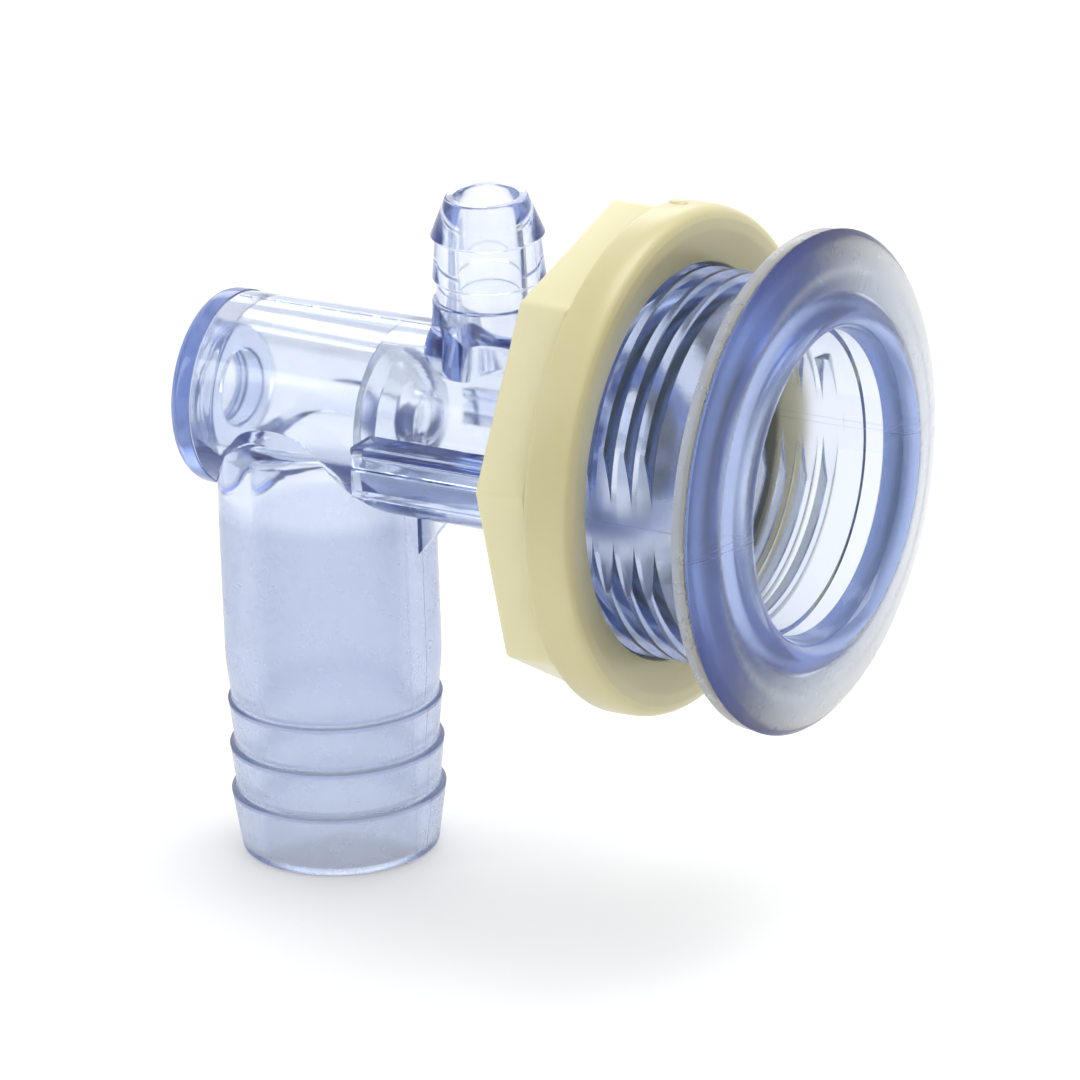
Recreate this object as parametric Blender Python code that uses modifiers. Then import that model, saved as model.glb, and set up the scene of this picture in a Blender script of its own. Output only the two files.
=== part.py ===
"""Through-wall jet fitting: a clear body with a water barb and an air barb, a threaded barrel with a
flange and a gasket, and the octagonal lock nut and slip ring that clamp it to a wall.

The main axis is X, with the flange at +X. The origin is where that axis crosses the wall seat, the
gasket's rear face. The water barb points down and the air barb points up."""

from math import ceil, cos, pi, radians, sin, tan

import bmesh
import bpy
from mathutils import Matrix

MM = 0.001
GAP = 0.3 * MM                       # between pieces that touch
WELD = 0.002 * MM                    # points nearer than this are one

# Thread, shared by the barrel and the nut
THREAD_RADIUS = 18.7 * MM            # crest of the barrel's thread
THREAD_DEPTH = 1.2 * MM
THREAD_PITCH = 2.2 * MM
THREAD_CREST_WIDTH = 0.5 * MM
THREAD_FLANK = radians(25.0)
THREAD_CLEARANCE = 0.25 * MM         # square to the flanks
THREAD_PLAIN_LAND = 4.2 * MM         # unthreaded stretch behind the wall seat
THREAD_FLAT_DEPTH = 0.1 * MM         # how far the two moulding flats go below its root
BARREL_ROOT = THREAD_RADIUS - THREAD_DEPTH

# Threaded barrel, and the flange welded to its front on the wet side
BARREL_WALL = 2.9 * MM
BARREL_LENGTH = 20.6 * MM            # wall seat to the barrel's rear face
BARREL_REAR_WALL = 3.0 * MM
BARREL_BORE = BARREL_ROOT - BARREL_WALL
BARREL_REAR = -BARREL_LENGTH
FLANGE_RADIUS = THREAD_RADIUS + 5.5 * MM
FLANGE_HEIGHT = 2.9 * MM             # seat face to the crest of the lip
FLANGE_VALLEY = 1.3 * MM             # depth of the hollow between the rim and the lip
RIM_ROUND = 1.1 * MM
LIP_ROUND = 1.7 * MM
OPENING_RADIUS = BARREL_BORE + 0.4 * MM
SNAP_GROOVE_DEPTH = 0.5 * MM
SNAP_GROOVE_START = -0.8 * MM        # it runs from here to the flange

# Gasket under the flange
GASKET_THICKNESS = 1.3 * MM
GASKET_RADIUS = FLANGE_RADIUS - GAP
FLANGE_SEAT = GASKET_THICKNESS + GAP

# Octagonal lock nut and the slip ring in front of it
NUT_WALL = 3.27 * MM                 # its bore to the middle of a flat
NUT_LENGTH = 5.4 * MM
NUT_TURNED_BY = radians(36.5)        # first corner, from +Y towards +Z
NUT_EDGE_ROUND = 0.5 * MM
NUT_BORE = THREAD_RADIUS + GAP
NUT_CORNER_RADIUS = (NUT_BORE + NUT_WALL) / cos(pi / 8)
WALL_GAP = 11.2 * MM                 # wall seat to the slip ring, as shown
SLIP_RING_WALL = 5.5 * MM
SLIP_RING_LENGTH = 4.1 * MM
SLIP_RING_ROUND = 1.3 * MM
SLIP_RING_DISH = 0.7 * MM
SLIP_RING_LAND = 1.0 * MM            # flat ring that bears on the wall
SLIP_RING_RADIUS = NUT_BORE + SLIP_RING_WALL
RING_FRONT = -WALL_GAP
RING_REAR = RING_FRONT - SLIP_RING_LENGTH
NUT_FRONT = RING_REAR - GAP
NUT_REAR = NUT_FRONT - NUT_LENGTH

# Jet body: the main tube
TUBE_RADIUS = 9.4 * MM               # at the closed end
TUBE_DRAFT = 0.3 * MM                # how much wider it is at the barrel
TUBE_LENGTH = 40.1 * MM
TUBE_SHOULDER = BARREL_REAR - GAP
TUBE_END = TUBE_SHOULDER - TUBE_LENGTH
SPIGOT_RADIUS = TUBE_RADIUS - 0.4 * MM
SPIGOT_REACH = 0.7 * MM              # past the barrel's rear wall
SPIGOT_END = BARREL_REAR + BARREL_REAR_WALL + SPIGOT_REACH
WATER_PASSAGE = 6.0 * MM
MIXING_CHAMBER = 6.5 * MM

# Water barb, pointing down, for a 19 mm hose
WATER_X = TUBE_END + 9.2 * MM
WATER_BODY_RADIUS = 10.5 * MM
WATER_BARB_RADIUS = 10.4 * MM
WATER_NECK_RADIUS = 9.8 * MM
WATER_END_RADIUS = 9.5 * MM
WATER_BORE = 7.2 * MM
WATER_BORE_TOP = -3.2 * MM
WATER_BORE_ROUND = 2.0 * MM
WATER_SHOULDER_ROUND = 1.5 * MM
WATER_LENGTH = 45.3 * MM             # main axis to the end of the barb
WATER_BARBS = 3
WATER_BARB_PITCH = 4.65 * MM
WATER_TIP = 6.1 * MM                 # last ridge to the end
WATER_LEAD_IN = 3.9 * MM             # plain leg to the first ridge
WATER_END = -WATER_LENGTH
WATER_FIRST_BARB = WATER_END + WATER_TIP + (WATER_BARBS - 1) * WATER_BARB_PITCH
WATER_PLAIN_END = WATER_FIRST_BARB + WATER_LEAD_IN
CHAMBER_START = WATER_X + WATER_BORE + 0.8 * MM

# Air barb, pointing up, for a 9.5 mm hose
AIR_X = TUBE_SHOULDER - 11.8 * MM
AIR_STEM_RADIUS = 5.6 * MM
AIR_FLARE = 1.0 * MM                 # how much wider the stem is where it meets the tube
AIR_BARB_RADIUS = 5.5 * MM
AIR_NECK_RADIUS = 5.05 * MM
AIR_TIP_RADIUS = 3.95 * MM
AIR_BORE = 3.13 * MM
AIR_STEM_TOP = TUBE_RADIUS + 4.0 * MM
AIR_BARB_EDGES = (AIR_STEM_TOP + 2.2 * MM, AIR_STEM_TOP + 6.4 * MM)
AIR_TOP = AIR_BARB_EDGES[1] + 3.8 * MM

# Side ribs and the gusset behind the water barb
RIB_START = TUBE_SHOULDER - 20.0 * MM
RIB_REACH = TUBE_RADIUS + 4.4 * MM   # main axis to the rib's outer face
RIB_TOP = 1.3 * MM
RIB_BOTTOM = -3.7 * MM
RIB_ROUND = 0.9 * MM
RIB_NOTCH = 0.6 * MM
BURIED = 2.0 * MM                    # how deep a joined shape reaches into the tube
GUSSET_SIZE = 4.4 * MM
GUSSET_THICKNESS = 1.4 * MM

# End cap and venturi nozzle
CAP_RADIUS = TUBE_RADIUS + 0.1 * MM
CAP_THICKNESS = 2.2 * MM
CAP_ROUND = 1.2 * MM
CAP_REGISTER_RADIUS = WATER_PASSAGE - GAP
CAP_REGISTER_WALL = 2.1 * MM
CAP_REGISTER_LENGTH = 1.3 * MM
CAP_RECESS_DEPTH = 1.1 * MM
NOZZLE_REAR = CHAMBER_START + GAP
NOZZLE_INLET = WATER_PASSAGE - MM
NOZZLE_THICKNESS = 2.2 * MM
NOZZLE_THROAT = 2.1 * MM
NOZZLE_SNOUT_WALL = 1.2 * MM
NOZZLE_SNOUT_LENGTH = 1.8 * MM

LARGE_STEPS = 40
SMALL_STEPS = 32


def arc(center, radius, start, end, count):
    """Points (axial, radial) on an arc. Angles in degrees go from +axial towards +radial."""
    turns = [radians(start + (end - start) * i / (count - 1)) for i in range(count)]
    return [(center[0] + radius * cos(a), center[1] + radius * sin(a)) for a in turns]


def new_collection(name):
    collection = bpy.data.collections.new(name)
    bpy.context.scene.collection.children.link(collection)
    return collection


def add_object(name, mesh, location=(0.0, 0.0, 0.0)):
    """A new object in the helper collection. finish() moves the real pieces to theirs."""
    piece = bpy.data.objects.new(name, mesh)
    helpers.objects.link(piece)
    piece.location = location
    piece.hide_render = True
    piece.display_type = "WIRE"
    return piece


def profile_mesh(name, outline, closed):
    """An outline of (axial, radial) points as edges in the XZ plane, with the axial way up Z."""
    mesh = bpy.data.meshes.new(name)
    count = len(outline)
    edges = [(i, (i + 1) % count) for i in range(count if closed else count - 1)]
    mesh.from_pydata([(r, 0.0, a) for a, r in outline], edges, [])
    return mesh


def bake(piece):
    """Puts the evaluated mesh, turned and moved into world space, in place of the modifiers."""
    bpy.context.view_layer.update()
    graph = bpy.context.evaluated_depsgraph_get()
    mesh = bpy.data.meshes.new_from_object(piece.evaluated_get(graph))
    mesh.transform(piece.matrix_world)
    piece.modifiers.clear()
    piece.data = mesh
    piece.matrix_world = Matrix.Identity(4)
    return piece


def turned(name, outline, steps, along="X", at=(0.0, 0.0, 0.0), closed=False):
    """A turned solid. Its outline runs down the outer side, from high axial values to low ones."""
    piece = add_object(name, profile_mesh(name, outline, closed), at)
    if along == "X":
        piece.rotation_euler = (0.0, pi / 2, 0.0)
    screw = piece.modifiers.new("turn", "SCREW")
    screw.axis = "Z"
    screw.steps = screw.render_steps = steps
    screw.use_merge_vertices = True
    screw.merge_threshold = 0.00001
    return bake(piece)


def helix(name, outline, turns, steps_per_turn):
    """A closed outline swept along a right-handed thread, with its two ends filled."""
    piece = add_object(name, profile_mesh(name, outline, closed=True))
    piece.rotation_euler = (0.0, pi / 2, 0.0)
    screw = piece.modifiers.new("thread", "SCREW")
    screw.axis = "Z"
    screw.angle = turns * 2 * pi
    screw.screw_offset = turns * THREAD_PITCH
    screw.steps = screw.render_steps = round(turns * steps_per_turn)
    bake(piece)
    bm = bmesh.new()
    bm.from_mesh(piece.data)
    bmesh.ops.holes_fill(bm, edges=[e for e in bm.edges if e.is_boundary], sides=0)
    bmesh.ops.recalc_face_normals(bm, faces=bm.faces)
    bm.to_mesh(piece.data)
    bm.free()
    return piece


def box(name, low, high):
    size = [h - l for l, h in zip(low, high)]
    middle = [(h + l) / 2 for l, h in zip(low, high)]
    bm = bmesh.new()
    bmesh.ops.create_cube(bm, size=1.0, matrix=Matrix.Translation(middle) @ Matrix.Diagonal((*size, 1.0)))
    mesh = bpy.data.meshes.new(name)
    bm.to_mesh(mesh)
    bm.free()
    return add_object(name, mesh)


def combine(piece, others, operation):
    """One Boolean at a time, each welded, so that no sliver is handed to the next."""
    for other in others:
        boolean = piece.modifiers.new(other.name, "BOOLEAN")
        boolean.operation = operation
        boolean.solver = "EXACT"
        boolean.object = other
        bake(piece)
        bm = bmesh.new()
        bm.from_mesh(piece.data)
        bmesh.ops.remove_doubles(bm, verts=bm.verts, dist=WELD)
        bmesh.ops.dissolve_degenerate(bm, edges=bm.edges, dist=WELD)
        bm.to_mesh(piece.data)
        bm.free()
    return piece


def finish(piece, color, roughness, alpha=1.0, origin_x=0.0):
    """Moves a piece to the object's collection, with its origin on the main axis and its material."""
    helpers.objects.unlink(piece)
    parts.objects.link(piece)
    piece.hide_render = False
    piece.display_type = "TEXTURED"
    piece.data.transform(Matrix.Translation((-origin_x, 0.0, 0.0)))
    piece.location.x = origin_x
    piece.data.name = piece.name
    piece.data.shade_smooth()
    piece.data.set_sharp_from_angle(angle=radians(32.0))
    material = bpy.data.materials.new(piece.name)
    material.use_nodes = True
    shader = material.node_tree.nodes["Principled BSDF"]
    shader.inputs["Base Color"].default_value = (*color, 1.0)
    shader.inputs["Roughness"].default_value = roughness
    shader.inputs["Alpha"].default_value = alpha
    piece.data.materials.clear()
    piece.data.materials.append(material)
    return piece


def foot_width(crest, foot, crest_width):
    """How wide a thread ridge is at the radius of its foot."""
    return crest_width + 2 * abs(crest - foot) * tan(THREAD_FLANK)


def thread_outline(center, crest, foot, crest_width):
    """A thread ridge's section: its crest, its flanks and its foot, which is buried."""
    width = foot_width(crest, foot, crest_width)
    return [
        (center + crest_width / 2, crest),
        (center - crest_width / 2, crest),
        (center - width / 2, foot),
        (center + width / 2, foot),
    ]


def flange():
    """The wet side's ring: a raised lip round the opening, a shallow hollow, and a rounded rim."""
    crest = FLANGE_SEAT + FLANGE_HEIGHT
    rim = (FLANGE_SEAT + RIM_ROUND, FLANGE_RADIUS - RIM_ROUND)
    lip = (crest - LIP_ROUND, OPENING_RADIUS + LIP_ROUND)
    outline = [
        *arc(lip, LIP_ROUND, -90, 50, 7),
        (crest - FLANGE_VALLEY, (rim[1] + lip[1]) / 2),
        *arc(rim, RIM_ROUND, 30, 180, 7),
        (FLANGE_SEAT, BARREL_BORE),
    ]
    return turned("flange", outline, LARGE_STEPS, closed=True)


def threaded_barrel():
    """The barrel behind the flange, its thread, and the rear wall that the jet body plugs into."""
    front = FLANGE_SEAT - GAP
    groove_radius = BARREL_BORE + SNAP_GROOVE_DEPTH
    wall_front = BARREL_REAR + BARREL_REAR_WALL
    outline = [
        (front, BARREL_ROOT),
        (BARREL_REAR + GAP, BARREL_ROOT),
        (BARREL_REAR, BARREL_ROOT - GAP),
        (BARREL_REAR, SPIGOT_RADIUS + GAP),
        (wall_front, SPIGOT_RADIUS + GAP),
        (wall_front, BARREL_BORE - 2 * GAP),
        (wall_front + 2 * GAP, BARREL_BORE),
        (SNAP_GROOVE_START, BARREL_BORE),
        (SNAP_GROOVE_START, groove_radius),
        (front, groove_radius),
    ]
    barrel = turned("threaded_barrel", outline, LARGE_STEPS, closed=True)
    foot = BARREL_ROOT - GAP
    start = barrel_thread_start()
    length = -THREAD_PLAIN_LAND - foot_width(THREAD_RADIUS, foot, THREAD_CREST_WIDTH) / 2 - start
    section = thread_outline(start, THREAD_RADIUS, foot, THREAD_CREST_WIDTH)
    ridge = helix("barrel thread", section, length / THREAD_PITCH, LARGE_STEPS)
    combine(barrel, [ridge], "UNION")
    flat = BARREL_ROOT - THREAD_FLAT_DEPTH
    far = THREAD_RADIUS + MM
    rear, end = BARREL_REAR - GAP, GAP - THREAD_PLAIN_LAND
    flats = [
        box("flat +Y", (rear, flat, -far / 2), (end, far, far / 2)),
        box("flat -Y", (rear, -far, -far / 2), (end, -flat, far / 2)),
    ]
    return combine(barrel, flats, "DIFFERENCE")


def barrel_thread_start():
    """Where the middle of the barrel's thread ridge starts, at the barrel's rear."""
    return BARREL_REAR + 2 * GAP + foot_width(THREAD_RADIUS, BARREL_ROOT - GAP, THREAD_CREST_WIDTH) / 2


def flange_gasket():
    outline = [
        (GASKET_THICKNESS, BARREL_ROOT + GAP),
        (GASKET_THICKNESS, GASKET_RADIUS),
        (0.0, GASKET_RADIUS),
        (0.0, BARREL_ROOT + GAP),
    ]
    return turned("flange_gasket", outline, LARGE_STEPS, closed=True)


def slip_ring():
    """The round ring that the nut pushes against the wall. Its front face is slightly dished."""
    corner = SLIP_RING_RADIUS - SLIP_RING_ROUND
    outline = [
        (RING_FRONT - SLIP_RING_DISH, NUT_BORE),
        (RING_FRONT, corner - SLIP_RING_LAND),
        *arc((RING_FRONT - SLIP_RING_ROUND, corner), SLIP_RING_ROUND, 0, 90, 5),
        *arc((RING_REAR + SLIP_RING_ROUND / 2, SLIP_RING_RADIUS - SLIP_RING_ROUND / 2),
             SLIP_RING_ROUND / 2, 90, 180, 4),
        (RING_REAR, NUT_BORE),
    ]
    return turned("slip_ring", outline, LARGE_STEPS, closed=True)


def lock_nut():
    """The octagon, bored to clear the thread's crest, with its own thread ridge left inside."""
    bm = bmesh.new()
    bmesh.ops.create_cone(bm, cap_ends=True, segments=8, depth=NUT_LENGTH,
                          radius1=NUT_CORNER_RADIUS, radius2=NUT_CORNER_RADIUS)
    bmesh.ops.bevel(bm, geom=bm.edges[:], offset=NUT_EDGE_ROUND, segments=2, profile=0.5, affect="EDGES")
    mesh = bpy.data.meshes.new("lock_nut")
    bm.to_mesh(mesh)
    bm.free()
    nut = add_object("lock_nut", mesh)
    # The prism's axis turns onto X, and its first corner onto the angle given from +Y towards +Z.
    lay_down = Matrix.Rotation(pi / 2, 4, "Y")
    mesh.transform(Matrix.Rotation(NUT_TURNED_BY - pi / 2, 4, "X") @ lay_down)
    mesh.transform(Matrix.Translation(((NUT_FRONT + NUT_REAR) / 2, 0.0, 0.0)))
    hole = turned("nut bore", [(NUT_FRONT + MM, 0.0), (NUT_FRONT + MM, NUT_BORE),
                               (NUT_REAR - MM, NUT_BORE), (NUT_REAR - MM, 0.0)], LARGE_STEPS)
    combine(nut, [hole], "DIFFERENCE")
    crest, foot = BARREL_ROOT + GAP, NUT_BORE + GAP
    # The barrel's groove at the nut's crest, less the clearance on both flanks
    taken = foot_width(THREAD_RADIUS, crest, THREAD_CREST_WIDTH) + 2 * THREAD_CLEARANCE / cos(THREAD_FLANK)
    crest_width = THREAD_PITCH - taken
    margin = GAP + foot_width(crest, foot, crest_width) / 2
    # The middle of the groove comes round to the nut's rear this many steps after the barrel's start
    steps = ceil(((NUT_REAR + margin - barrel_thread_start()) / THREAD_PITCH - 0.5) * LARGE_STEPS)
    start = barrel_thread_start() + (0.5 + steps / LARGE_STEPS) * THREAD_PITCH
    section = thread_outline(start, crest, foot, crest_width)
    ridge = helix("nut thread", section, (NUT_FRONT - margin - start) / THREAD_PITCH, LARGE_STEPS)
    ridge.data.transform(Matrix.Rotation(2 * pi * steps / LARGE_STEPS, 4, "X"))
    return combine(nut, [ridge], "UNION")


def main_tube():
    outline = [
        (SPIGOT_END, 0.0),
        (SPIGOT_END, SPIGOT_RADIUS - GAP),
        (SPIGOT_END - GAP, SPIGOT_RADIUS),
        (TUBE_SHOULDER, SPIGOT_RADIUS),
        (TUBE_SHOULDER, TUBE_RADIUS + TUBE_DRAFT),
        (TUBE_END, TUBE_RADIUS),
        (TUBE_END, 0.0),
    ]
    return turned("jet_body", outline, SMALL_STEPS)


def water_barb():
    """The leg, wider than the tube, with a rounded shoulder and three hose ridges."""
    shoulder = (0.0, WATER_BODY_RADIUS - WATER_SHOULDER_ROUND)
    outline = [(WATER_SHOULDER_ROUND, 0.0)]
    outline += arc(shoulder, WATER_SHOULDER_ROUND, 0, 90, 5)
    outline += [
        (WATER_PLAIN_END, WATER_BODY_RADIUS),
        (WATER_FIRST_BARB + GAP, WATER_NECK_RADIUS + GAP),
    ]
    for i in range(WATER_BARBS):
        edge = WATER_FIRST_BARB - i * WATER_BARB_PITCH
        outline += [(edge, WATER_BARB_RADIUS)]
        if i < WATER_BARBS - 1:
            outline += [(edge - WATER_BARB_PITCH + GAP, WATER_NECK_RADIUS)]
    outline += [
        (WATER_END + GAP, WATER_END_RADIUS),
        (WATER_END, WATER_END_RADIUS - GAP),
        (WATER_END, 0.0),
    ]
    return turned("water barb", outline, SMALL_STEPS, "Z", (WATER_X, 0.0, 0.0))


def air_barb():
    """The small barb: a flared stem, then two ridges whose wide edge faces the tube."""
    low, high = AIR_BARB_EDGES
    outline = [
        (AIR_TOP, 0.0),
        (AIR_TOP, AIR_TIP_RADIUS),
        (high, AIR_BARB_RADIUS),
        (high - GAP, AIR_NECK_RADIUS),
        (low, AIR_BARB_RADIUS),
        (low - GAP, AIR_NECK_RADIUS),
        (AIR_STEM_TOP, AIR_NECK_RADIUS),
        (AIR_STEM_TOP, AIR_STEM_RADIUS - GAP / 2),
        (TUBE_RADIUS + BURIED / 2, AIR_STEM_RADIUS),
        (TUBE_RADIUS - BURIED / 2, AIR_STEM_RADIUS + AIR_FLARE),
        (TUBE_RADIUS - BURIED, 0.0),
    ]
    return turned("air barb", outline, SMALL_STEPS, "Z", (AIR_X, 0.0, 0.0))


def side_rib(side):
    """A rib from the barrel's rear wall along the tube, notched at its end on the parting line."""
    inner, outer = sorted((side * (TUBE_RADIUS - BURIED), side * RIB_REACH))
    rib = box(f"rib {side:+d}", (RIB_START, inner, RIB_BOTTOM), (TUBE_SHOULDER, outer, RIB_TOP))
    bm = bmesh.new()
    bm.from_mesh(rib.data)
    # The edges of the outer face, and the two that run back from it at the free end
    outer_face = {v for v in bm.verts if side * v.co.y > RIB_REACH - RIB_ROUND}
    free_end = {v for v in bm.verts if v.co.x < RIB_START + RIB_ROUND}
    round_over = [e for e in bm.edges
                  if outer_face >= set(e.verts) or (outer_face & set(e.verts) and free_end >= set(e.verts))]
    bmesh.ops.bevel(bm, geom=round_over, offset=RIB_ROUND, segments=3, profile=0.5, affect="EDGES")
    bm.to_mesh(rib.data)
    bm.free()
    notch = box(f"notch {side:+d}", (-RIB_NOTCH, inner - MM, -RIB_NOTCH), (RIB_NOTCH, outer + MM, RIB_NOTCH))
    notch.data.transform(Matrix.Rotation(pi / 4, 4, "Y"))
    notch.location = (RIB_START, 0.0, 0.0)
    return combine(rib, [bake(notch)], "DIFFERENCE")


def gusset():
    """A triangular fin in the corner between the tube and the water barb."""
    foot_x = WATER_X + WATER_BODY_RADIUS
    bm = bmesh.new()
    corners = [
        (foot_x - BURIED / 2, -TUBE_RADIUS + BURIED / 2),
        (foot_x - BURIED / 2, -TUBE_RADIUS - GUSSET_SIZE),
        (foot_x, -TUBE_RADIUS - GUSSET_SIZE),
        (foot_x + GUSSET_SIZE, -TUBE_RADIUS),
        (foot_x + GUSSET_SIZE, -TUBE_RADIUS + BURIED / 2),
    ]
    face = bm.faces.new([bm.verts.new((x, -GUSSET_THICKNESS / 2, z)) for x, z in corners])
    made = bmesh.ops.extrude_face_region(bm, geom=[face])["geom"]
    moved = [v for v in made if isinstance(v, bmesh.types.BMVert)]
    bmesh.ops.translate(bm, verts=moved, vec=(0.0, GUSSET_THICKNESS, 0.0))
    bmesh.ops.recalc_face_normals(bm, faces=bm.faces)
    mesh = bpy.data.meshes.new("gusset")
    bm.to_mesh(mesh)
    bm.free()
    return add_object("gusset", mesh)


def jet_bores():
    """The ways for water and air: the passage, the chamber and both barbs' bores."""
    main = turned("main bore", [
        (SPIGOT_END + MM, 0.0),
        (SPIGOT_END + MM, MIXING_CHAMBER),
        (CHAMBER_START, MIXING_CHAMBER),
        (CHAMBER_START, WATER_PASSAGE),
        (TUBE_END - GAP, WATER_PASSAGE),
        (TUBE_END - GAP, 0.0),
    ], SMALL_STEPS)
    water = turned("water bore", [
        (WATER_BORE_TOP, 0.0),
        *arc((WATER_BORE_TOP - WATER_BORE_ROUND, WATER_BORE - WATER_BORE_ROUND), WATER_BORE_ROUND, 0, 90, 4),
        (WATER_END - MM, WATER_BORE),
        (WATER_END - MM, 0.0),
    ], SMALL_STEPS, "Z", (WATER_X, 0.0, 0.0))
    air = turned("air bore", [
        (AIR_TOP + MM, 0.0),
        (AIR_TOP + MM, AIR_BORE),
        (MIXING_CHAMBER / 2, AIR_BORE),
        (MIXING_CHAMBER / 2, 0.0),
    ], SMALL_STEPS, "Z", (AIR_X, 0.0, 0.0))
    # The leg is wider than the tube is long past its axis, so the cap's seat is cut out of it.
    seat = turned("cap seat", [
        (TUBE_END, 0.0),
        (TUBE_END, CAP_RADIUS + GAP),
        (TUBE_END - 2 * CAP_THICKNESS, CAP_RADIUS + GAP),
        (TUBE_END - 2 * CAP_THICKNESS, 0.0),
    ], SMALL_STEPS)
    return [main, water, air, seat]


def jet_body():
    """Tube, barbs, ribs and gusset in one moulding, with its ways bored."""
    outside = [water_barb(), air_barb(), side_rib(1), side_rib(-1), gusset()]
    return combine(combine(main_tube(), outside, "UNION"), jet_bores(), "DIFFERENCE")


def end_cap():
    """The disc that closes the tube, with a ring that registers in the tube's end."""
    inner = TUBE_END - GAP
    face = inner - CAP_THICKNESS
    tip = inner + CAP_REGISTER_LENGTH
    recess_radius = CAP_REGISTER_RADIUS - CAP_REGISTER_WALL
    outline = [
        (tip, recess_radius),
        (tip, CAP_REGISTER_RADIUS),
        (inner, CAP_REGISTER_RADIUS),
        (inner, CAP_RADIUS),
        *arc((face + CAP_ROUND, CAP_RADIUS - CAP_ROUND), CAP_ROUND, 90, 180, 5),
        (face, 0.0),
    ]
    recess = [(inner - CAP_RECESS_DEPTH, 0.0), (inner - CAP_RECESS_DEPTH, recess_radius)]
    return turned("end_cap", recess + outline, SMALL_STEPS)


def venturi_nozzle():
    """The orifice disc between the water passage and the chamber where the air comes in."""
    front = NOZZLE_REAR + NOZZLE_THICKNESS
    tip = front + NOZZLE_SNOUT_LENGTH
    outline = [
        (tip, NOZZLE_THROAT),
        (tip, NOZZLE_THROAT + NOZZLE_SNOUT_WALL - 2 * GAP),
        (front, NOZZLE_THROAT + NOZZLE_SNOUT_WALL),
        (front, MIXING_CHAMBER - GAP),
        (NOZZLE_REAR, MIXING_CHAMBER - GAP),
        (NOZZLE_REAR, NOZZLE_INLET),
        (front, NOZZLE_THROAT),
    ]
    return turned("venturi_nozzle", outline, SMALL_STEPS, closed=True)


CLEAR_BLUE = (0.42, 0.52, 0.86)
IVORY = (0.84, 0.81, 0.66)
PALE_GASKET = (0.80, 0.77, 0.62)

for leftover in list(bpy.data.objects):
    bpy.data.objects.remove(leftover)
parts = new_collection("through-wall jet fitting")
helpers = new_collection("cutters and joined shapes")

finish(threaded_barrel(), CLEAR_BLUE, 0.08, alpha=0.45)
finish(flange(), CLEAR_BLUE, 0.08, alpha=0.45, origin_x=FLANGE_SEAT)
finish(flange_gasket(), PALE_GASKET, 0.45)
finish(slip_ring(), IVORY, 0.4, origin_x=RING_FRONT)
finish(lock_nut(), IVORY, 0.4, origin_x=NUT_FRONT)
finish(jet_body(), CLEAR_BLUE, 0.08, alpha=0.45)
finish(end_cap(), CLEAR_BLUE, 0.08, alpha=0.45, origin_x=TUBE_END)
finish(venturi_nozzle(), CLEAR_BLUE, 0.1, alpha=0.45, origin_x=NOZZLE_REAR)
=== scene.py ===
# %% [markdown]
# # A clear through-wall jet fitting
# A tub or a hull has a hole in its wall, and this fitting closes it. A flanged, threaded barrel goes
# through the hole from the wet side. An octagonal nut pushes a slip ring against the dry side. Water
# comes up the large barb, air comes down the small one, and both leave through the barrel.
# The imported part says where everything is, so it is loaded first, and every size starts from it.

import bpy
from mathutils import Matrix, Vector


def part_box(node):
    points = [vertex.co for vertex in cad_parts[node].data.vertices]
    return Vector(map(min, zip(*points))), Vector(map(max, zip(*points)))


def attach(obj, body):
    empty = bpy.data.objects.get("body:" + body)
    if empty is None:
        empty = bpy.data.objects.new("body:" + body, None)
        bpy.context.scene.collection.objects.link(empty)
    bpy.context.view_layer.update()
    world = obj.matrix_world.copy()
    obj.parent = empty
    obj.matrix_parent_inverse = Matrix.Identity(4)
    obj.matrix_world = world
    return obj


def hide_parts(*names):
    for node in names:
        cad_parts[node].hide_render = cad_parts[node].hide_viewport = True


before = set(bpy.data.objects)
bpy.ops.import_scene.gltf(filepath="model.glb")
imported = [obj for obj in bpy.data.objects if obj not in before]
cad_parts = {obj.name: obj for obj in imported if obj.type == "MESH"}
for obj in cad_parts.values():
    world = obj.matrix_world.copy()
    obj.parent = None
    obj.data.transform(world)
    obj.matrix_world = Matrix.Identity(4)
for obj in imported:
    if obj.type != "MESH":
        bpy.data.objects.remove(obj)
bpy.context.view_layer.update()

# %% Modules and the unit of length
from math import cos, pi, radians, tan

import bpy
from mathutils import Matrix, Vector

MM = 0.001
HAIR = 0.02           # a gap in mm, too small to see, between pieces that are welded or pressed
AROUND = 144          # steps in a full turn of a large piece
SMALL_AROUND = 96     # and of a small one
print("a large piece is turned in", AROUND, "steps, a small one in", SMALL_AROUND)

# %% [markdown]
# ## Working by hand, in code
# Everything here is modelled as at the screen: let go of what is selected, add a primitive, change
# it in edit mode, apply a modifier. These small helpers are the strokes that come back for every
# piece. An operator acts on all that is selected, so each stroke starts by letting go.

# %% Letting go, and selecting by place
def let_go():
    """Back to object mode, with nothing selected."""
    if bpy.context.object and bpy.context.object.mode != "OBJECT":
        bpy.ops.object.mode_set(mode="OBJECT")
    bpy.ops.object.select_all(action="DESELECT")


def take(piece):
    """Selects one piece and makes it the active one."""
    let_go()
    piece.select_set(True)
    bpy.context.view_layer.objects.active = piece


def pick(piece, kind, wanted):
    """Opens edit mode with only those vertices, edges or polygons selected that the test wants."""
    take(piece)
    bpy.ops.object.mode_set(mode="EDIT")
    bpy.ops.mesh.select_mode(type={"vertices": "VERT", "edges": "EDGE", "polygons": "FACE"}[kind])
    bpy.ops.mesh.select_all(action="DESELECT")
    bpy.ops.object.mode_set(mode="OBJECT")
    for item in getattr(piece.data, kind):
        item.select = bool(wanted(item))
    bpy.ops.object.mode_set(mode="EDIT")


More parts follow.
